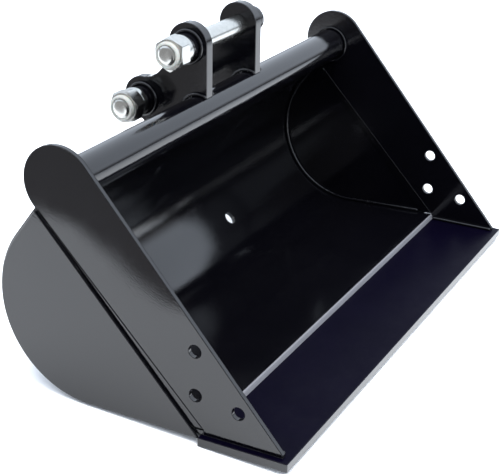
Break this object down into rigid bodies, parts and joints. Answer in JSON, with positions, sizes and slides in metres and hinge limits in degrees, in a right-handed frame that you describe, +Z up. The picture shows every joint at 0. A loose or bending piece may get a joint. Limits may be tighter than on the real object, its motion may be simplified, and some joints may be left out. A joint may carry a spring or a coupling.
{
  "type": "excavator grading bucket",
  "caption": "Wide welded steel grading bucket with a flat cutting edge, round-lobed side plates, torsion tube, hanger ears and nutted cross pins.",
  "frame": {"origin": "centre of the bounding box's footprint, on the ground the bucket stands on", "axes": "+X across the bucket from its left to its right side, the lip points to -Y, +Z up with the bucket standing on its cutting edge and heels"},
  "size_m": [0.61, 0.34, 0.3031],
  "materials": {
    "black_paint": "gloss black paint",
    "zinc_plate": "bright zinc plating",
    "locking_nylon": "satin"
  },
  "bodies": {
    "bucket": {"cutting_edge": "black_paint", "wrapper_shell": "black_paint", "end_panel_left": "black_paint", "end_panel_right": "black_paint", "side_plate_left": "black_paint", "side_plate_right": "black_paint", "torsion_tube": "black_paint", "ear_left": "black_paint", "ear_right": "black_paint", "boss_upper_left": "black_paint", "boss_upper_right": "black_paint", "boss_lower_left": "black_paint", "boss_lower_right": "black_paint", "weld_shell_left": "black_paint", "weld_shell_right": "black_paint", "weld_seam_left": "black_paint", "weld_seam_right": "black_paint", "weld_foot_left": "black_paint", "weld_foot_right": "black_paint", "weld_tube_left": "black_paint", "weld_tube_right": "black_paint", "weld_boss_upper_left": "black_paint", "weld_boss_lower_left": "black_paint", "weld_boss_upper_right": "black_paint", "weld_boss_lower_right": "black_paint", "weld_ear_left_a": "black_paint", "weld_ear_left_b": "black_paint", "weld_ear_right_a": "black_paint", "weld_ear_right_b": "black_paint", "weld_lip": "black_paint"},
    "pin_set_upper": {"pin_upper": "zinc_plate", "washer_upper": "zinc_plate", "nut_upper": "zinc_plate", "locking_ring_upper": "locking_nylon"},
    "pin_set_lower": {"pin_lower": "zinc_plate", "washer_lower": "zinc_plate", "nut_lower": "zinc_plate", "locking_ring_lower": "locking_nylon"}
  },
  "joints": [
    {"name": "pin_upper_turn", "type": "hinge", "parent": "bucket", "child": "pin_set_upper", "pos_m": [0, 0.09401, 0.27864], "axis": [1, 0, 0], "continuous": true},
    {"name": "pin_lower_turn", "type": "hinge", "parent": "bucket", "child": "pin_set_lower", "pos_m": [0, 0.14684, 0.21225], "axis": [1, 0, 0], "continuous": true}
  ]
}
